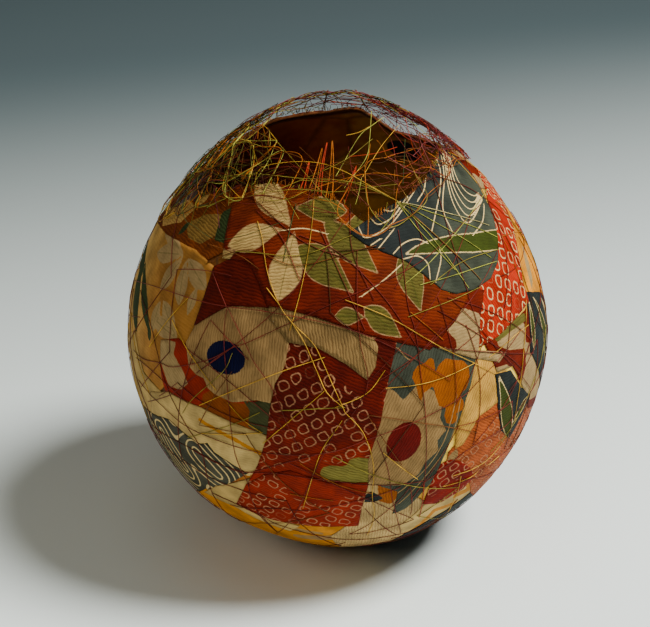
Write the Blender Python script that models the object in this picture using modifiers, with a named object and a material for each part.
"""A hollow ball vessel pieced from silk scraps, whose mouth is an open net of sewing thread.

Lengths are in metres and +Z is up. The origin is the middle of the small flat spot that the ball rests on.
An azimuth is counted from the front, -Y, towards +X, and a latitude from the ball's widest ring upwards.
"""

import math
import random

import bmesh
import bpy
from mathutils import Vector
from mathutils.geometry import delaunay_2d_cdt

MM = 0.001

# The ball
BALL_RADIUS = 75.0 * MM
CROWN_HEIGHT = 85.5 * MM  # from the widest ring up to where a closed crown would end
BELLY_DEPTH = 78.5 * MM  # from the widest ring down to where a round bottom would end
CROWN_TAPER = 0.18  # how much narrower than an ellipse the crown is at its top
PRESSED_FLAT = 2.2 * MM  # how much of the round bottom the resting spot takes away
RING_HEIGHT = BELLY_DEPTH - PRESSED_FLAT
LUMPS = (  # turns round the ball, waves from bottom to top, share of the radius, start in radians
    {"turns": 2, "waves": 1.0, "share": 0.0035, "start": 0.4},
    {"turns": 3, "waves": 2.0, "share": 0.0030, "start": 2.1},
    {"turns": 5, "waves": -3.0, "share": 0.0022, "start": 4.0},
    {"turns": 9, "waves": 5.0, "share": 0.0010, "start": 1.3},
)

# The cloth wall
CLOTH_THICKNESS = 1.4 * MM
CLOTH_PANELS = 60  # facets round the ball
CLOTH_COURSES = 26  # facets from the bottom to the cloth's edge
CLOTH_EDGE = (  # azimuth and latitude in degrees
    (0, 50.5), (11, 45.0), (22, 47.5), (43, 52.5), (70, 56.5), (100, 52.0), (130, 45.0), (150, 46.0),
    (168, 58.0), (190, 55.5), (212, 54.5), (232, 47.0), (255, 37.0), (273, 34.5), (288, 41.0),
    (300, 46.0), (312, 50.5), (330, 53.5), (347, 52.5),
)

# The thread net
STRAND = 0.9 * MM  # a bunch of threads
GAP = 0.3 * MM
STRAIGHT_ROOM = 0.3 * MM  # extra room for what runs straight beside the curved cloth
NET_LIFT = GAP + 0.5 * STRAND + STRAIGHT_ROOM  # off the cloth's outside
NET_OVERLAP = 4.0  # degrees of latitude that the net runs down over the cloth
DEGREE_OF_CROWN = 1.3 * MM  # what a degree of latitude measures near the mouth
SIDE_SPACING = 7.2 * MM
FRONT_SPACING = 10.5 * MM
FRONT_WIDTH = 55.0  # degrees of azimuth either side of the front where the net is sparser
KNOT_CLEARANCE = 0.86  # the least distance between scattered knots, as a share of the spacing
LAST_KNOT_CLEARANCE = 0.6  # the same where a loop of knots closes
LONG_STRAND = 8.5 * MM  # a longer strand gets a bend in its middle, so that it follows the ball
BEND_ASIDE = 0.9 * MM
MERGED_SHARE = 0.3  # the share of the net's strands left out, longest first
FEWEST_STRANDS = 3  # at a knot
NET_SEED = 7
NET_TRIES = 4000
SAME_POINT = 1e-7
MOUTH_RIM = (  # azimuth and latitude in degrees
    (0, 59.5), (30, 60.5), (60, 61.0), (90, 62.0), (120, 65.0), (150, 69.0), (180, 71.5), (210, 71.0),
    (240, 70.5), (270, 69.0), (300, 65.0), (330, 60.5),
)
RIM_WANDER = (  # turns round the mouth, degrees of latitude, start in radians
    {"turns": 11, "degrees": 1.1, "start": 0.7},
    {"turns": 17, "degrees": 0.66, "start": 0.0},
)

# The tuft of standing loops inside the front of the cloth's edge
TUFT_STRAND = 0.8 * MM
TUFT_BINDING = 1.6 * MM  # thickness of the bound roots
TUFT_ENDS = (-22.0, 3.0)  # azimuths in degrees
TUFT_DROP = 2.5  # degrees of latitude under the cloth's edge
LOOP_STEPS = 10
LOOPS = (  # azimuth of the foot in degrees, spread of the two feet in degrees, top in metres: x, y, z
    {"foot": -18.0, "spread": 3.0, "top": (-0.0090, -0.0205, 0.1475)},
    {"foot": -13.5, "spread": 4.0, "top": (-0.0052, -0.0172, 0.1510)},
    {"foot": -8.5, "spread": 2.5, "top": (-0.0030, -0.0165, 0.1530)},
    {"foot": -4.5, "spread": 3.5, "top": (-0.0012, -0.0150, 0.1535)},
    {"foot": 0.0, "spread": 3.0, "top": (0.0062, -0.0215, 0.1470)},
)


def clear_scene():
    for old in list(bpy.data.objects):
        bpy.data.objects.remove(old)


def new_collection(name):
    made = bpy.data.collections.new(name)
    bpy.context.scene.collection.children.link(made)
    return made


def new_material(name, colour, roughness):
    made = bpy.data.materials.new(name)
    made.use_nodes = True
    shader = made.node_tree.nodes["Principled BSDF"]
    shader.inputs["Base Color"].default_value = (*colour, 1.0)
    shader.inputs["Roughness"].default_value = roughness
    shader.inputs["Metallic"].default_value = 0.0
    return made


def add_object(name, mesh, collection, material):
    made = bpy.data.objects.new(name, mesh)
    collection.objects.link(made)
    made.data.materials.append(material)
    return made


def read_table(table, azimuth):
    """The latitude of a closed table at an azimuth, eased from row to row. Both are in radians."""
    turn = math.degrees(azimuth) % 360
    rows = [*table, (table[0][0] + 360, table[0][1])]
    for (low, first), (high, second) in zip(rows, rows[1:]):
        if low <= turn <= high:
            share = (turn - low) / (high - low)
            eased = share * share * (3 - 2 * share)
            return math.radians(first + eased * (second - first))
    return math.radians(rows[0][1])


def ball_point(azimuth, latitude, lift=0.0):
    """A point of the ball's outside, lifted off it. The resting spot is flat."""
    rise = math.sin(latitude)
    radius = BALL_RADIUS * math.cos(latitude) * (1 - CROWN_TAPER * max(0.0, rise) ** 2)
    height = (CROWN_HEIGHT if rise > 0 else BELLY_DEPTH) * rise
    swell = 1 + sum(
        lump["share"] * math.sin(lump["turns"] * azimuth + lump["waves"] * latitude + lump["start"])
        for lump in LUMPS
    )
    point = Vector((radius * math.sin(azimuth), -radius * math.cos(azimuth), height)) * swell
    point += point.normalized() * lift
    point.z = max(point.z + RING_HEIGHT, 0.0)
    return point


def make_cloth_shell(collection, material):
    """A globe of facets whose rings are drawn down until the top one lies on the cloth's uneven edge."""
    bm = bmesh.new()
    bmesh.ops.create_uvsphere(bm, u_segments=CLOTH_PANELS, v_segments=CLOTH_COURSES + 1, radius=1.0)
    bmesh.ops.delete(bm, geom=[v for v in bm.verts if v.co.z > 0.9999], context="VERTS")
    top = max(math.asin(v.co.z) for v in bm.verts)
    bottom = -math.pi / 2
    for v in bm.verts:
        azimuth = math.atan2(v.co.x, -v.co.y)
        climbed = (math.asin(max(-1.0, v.co.z)) - bottom) / (top - bottom)
        v.co = ball_point(azimuth, bottom + climbed * (read_table(CLOTH_EDGE, azimuth) - bottom))
    mesh = bpy.data.meshes.new("cloth_shell")
    bm.to_mesh(mesh)
    bm.free()
    mesh.shade_smooth()
    shell = add_object("cloth_shell", mesh, collection, material)
    wall = shell.modifiers.new("wall", "SOLIDIFY")
    wall.thickness = CLOTH_THICKNESS
    wall.offset = -1.0
    return shell


def on_crown(azimuth, latitude):
    """The crown laid out flat, seen from above."""
    away = (90 - math.degrees(latitude)) * DEGREE_OF_CROWN
    return Vector((away * math.sin(azimuth), -away * math.cos(azimuth)))


def off_crown(spot):
    """The azimuth and latitude of a spot of the laid-out crown."""
    return math.atan2(spot.x, -spot.y), math.radians(90 - spot.length / DEGREE_OF_CROWN)


def rim_latitude(azimuth):
    wander = sum(wave["degrees"] * math.sin(wave["turns"] * azimuth + wave["start"]) for wave in RIM_WANDER)
    return read_table(MOUTH_RIM, azimuth) + math.radians(wander)


def hem_latitude(azimuth):
    return read_table(CLOTH_EDGE, azimuth) - math.radians(NET_OVERLAP)


def net_spacing(azimuth):
    turn = abs(math.degrees(math.atan2(math.sin(azimuth), math.cos(azimuth))))
    sparser = min(1.0, 2 * max(0.0, 1 - turn / FRONT_WIDTH))
    return SIDE_SPACING + (FRONT_SPACING - SIDE_SPACING) * sparser


def loop_of_knots(latitude_at):
    """Knots on the laid-out crown along a closed edge of the net."""
    knots, azimuth = [], 0.0
    while azimuth < 2 * math.pi - 0.02:
        knots.append(on_crown(azimuth, latitude_at(azimuth)))
        azimuth += net_spacing(azimuth) / knots[-1].length
    if (knots[-1] - knots[0]).length < LAST_KNOT_CLEARANCE * net_spacing(0.0):
        knots.pop()
    return knots


def scattered_knots(taken):
    """Knots thrown between the hem and the rim, none nearer than the spacing to another."""
    chance = random.Random(NET_SEED)
    knots = list(taken)
    for _ in range(NET_TRIES):
        azimuth = chance.uniform(-math.pi, math.pi)
        low, high = hem_latitude(azimuth), rim_latitude(azimuth)
        spot = on_crown(azimuth, chance.uniform(low, high))
        if all((spot - knot).length > KNOT_CLEARANCE * net_spacing(azimuth) for knot in knots):
            knots.append(spot)
    return knots


def net_cells(bm, spots, faces):
    """The net's cells on the laid-out crown, with neighbours merged across their longest strands."""
    verts = [bm.verts.new((spot.x, spot.y, 0.0)) for spot in spots]
    for face in faces:
        middle = sum((spots[i] for i in face), Vector((0, 0))) / len(face)
        azimuth, latitude = off_crown(middle)
        if hem_latitude(azimuth) < latitude < rim_latitude(azimuth):
            bm.faces.new([verts[i] for i in face])
    bmesh.ops.delete(bm, geom=[v for v in bm.verts if not v.link_faces], context="VERTS")
    inner = sorted((e for e in bm.edges if len(e.link_faces) == 2), key=lambda e: -e.calc_length())
    strands_left = {v: len(v.link_edges) for v in bm.verts}
    merged, used = [], set()
    for edge in inner:
        spare = all(strands_left[v] > FEWEST_STRANDS for v in edge.verts)
        if len(merged) < len(inner) * MERGED_SHARE and spare and not used & set(edge.link_faces):
            merged.append(edge)
            used |= set(edge.link_faces)
            for v in edge.verts:
                strands_left[v] -= 1
    bmesh.ops.dissolve_edges(bm, edges=merged, use_verts=False)


def bend_long_strands(bm):
    """A bend in the middle of each long strand, pushed aside by turns to the left and to the right."""
    side = 1
    for edge in [e for e in bm.edges if e.calc_length() > LONG_STRAND]:
        first, second = (v.co.copy() for v in edge.verts)
        aside = (second - first).cross(Vector((0, 0, 1))).normalized() * BEND_ASIDE * side
        bend = bmesh.ops.subdivide_edges(bm, edges=[edge], cuts=1)["geom_inner"]
        for v in bend:
            if isinstance(v, bmesh.types.BMVert):
                v.co = (first + second) / 2 + aside
        side = -side


def make_thread_net(collection, material):
    """Strands between knots scattered over the crown, one strand on each side of every cell."""
    hem, rim = loop_of_knots(hem_latitude), loop_of_knots(rim_latitude)
    knots = scattered_knots(hem + rim)
    rings = (range(len(hem)), range(len(hem), len(hem) + len(rim)))
    ties = [(ring[i - 1], ring[i]) for ring in rings for i in range(len(ring))]
    spots, _, faces, *_ = delaunay_2d_cdt(knots, ties, [], 0, SAME_POINT)
    bm = bmesh.new()
    net_cells(bm, spots, faces)
    bend_long_strands(bm)
    for v in bm.verts:
        v.co = ball_point(*off_crown(v.co.xy), NET_LIFT)
    bmesh.ops.recalc_face_normals(bm, faces=bm.faces)
    mesh = bpy.data.meshes.new("thread_net")
    bm.to_mesh(mesh)
    bm.free()
    net = add_object("thread_net", mesh, collection, material)
    strands = net.modifiers.new("strands", "WIREFRAME")
    strands.thickness = STRAND
    strands.offset = 0.0
    strands.use_boundary = True
    strands.use_even_offset = True
    strands.use_replace = True
    return net


def make_tube(name, points, thickness, resolution):
    """A closed tube along points, as a mesh object that is not yet in a collection."""
    curve = bpy.data.curves.new(name, "CURVE")
    curve.dimensions = "3D"
    curve.bevel_depth = thickness / 2
    curve.bevel_resolution = resolution
    curve.use_fill_caps = True
    spline = curve.splines.new("POLY")
    spline.points.add(len(points) - 1)
    for target, point in zip(spline.points, points):
        target.co = (*point, 1.0)
    holder = bpy.data.objects.new(name, curve)
    bpy.context.scene.collection.objects.link(holder)
    bpy.context.view_layer.update()
    shown = holder.evaluated_get(bpy.context.evaluated_depsgraph_get())
    mesh = bpy.data.meshes.new_from_object(shown)
    bpy.data.objects.remove(holder)
    bm = bmesh.new()
    bm.from_mesh(mesh)
    bmesh.ops.remove_doubles(bm, verts=bm.verts, dist=0.01 * MM)
    bmesh.ops.recalc_face_normals(bm, faces=bm.faces)
    bm.to_mesh(mesh)
    bm.free()
    return mesh


def make_loop_tuft(collection, cutters, material):
    """Standing loops of thread whose feet are bound together inside the cloth's edge."""
    inside = -(CLOTH_THICKNESS + GAP + 0.5 * TUFT_BINDING + STRAIGHT_ROOM)

    def root(degrees):
        azimuth = math.radians(degrees)
        return ball_point(azimuth, read_table(CLOTH_EDGE, azimuth) - math.radians(TUFT_DROP), inside)

    low, high = TUFT_ENDS
    binding = [root(low + (high - low) * i / LOOP_STEPS) for i in range(LOOP_STEPS + 1)]
    tuft = add_object("loop_tuft", make_tube("binding", binding, TUFT_BINDING, 1), collection, material)
    for number, loop in enumerate(LOOPS):
        left, right = root(loop["foot"] - loop["spread"] / 2), root(loop["foot"] + loop["spread"] / 2)
        crest = 2 * Vector(loop["top"]) - (left + right) / 2
        shares = [i / LOOP_STEPS for i in range(LOOP_STEPS + 1)]
        path = [(1 - u) ** 2 * left + 2 * u * (1 - u) * crest + u * u * right for u in shares]
        strand = make_tube(f"loop_{number}", path, TUFT_STRAND, 0)
        cutter = add_object(f"loop_{number}", strand, cutters, material)
        cutter.hide_render = True
        cutter.display_type = "WIRE"
        join = tuft.modifiers.new(f"loop_{number}", "BOOLEAN")
        join.operation = "UNION"
        join.object = cutter
    return tuft


def main():
    clear_scene()
    vessel = new_collection("ball_vessel")
    cutters = new_collection("cutters")
    silk = new_material("pieced_silk", (0.62, 0.30, 0.10), 0.75)
    thread = new_material("sewing_thread", (0.30, 0.12, 0.06), 0.6)
    red_thread = new_material("red_thread", (0.60, 0.13, 0.05), 0.6)
    make_cloth_shell(vessel, silk)
    make_thread_net(vessel, thread)
    make_loop_tuft(vessel, cutters, red_thread)


main()
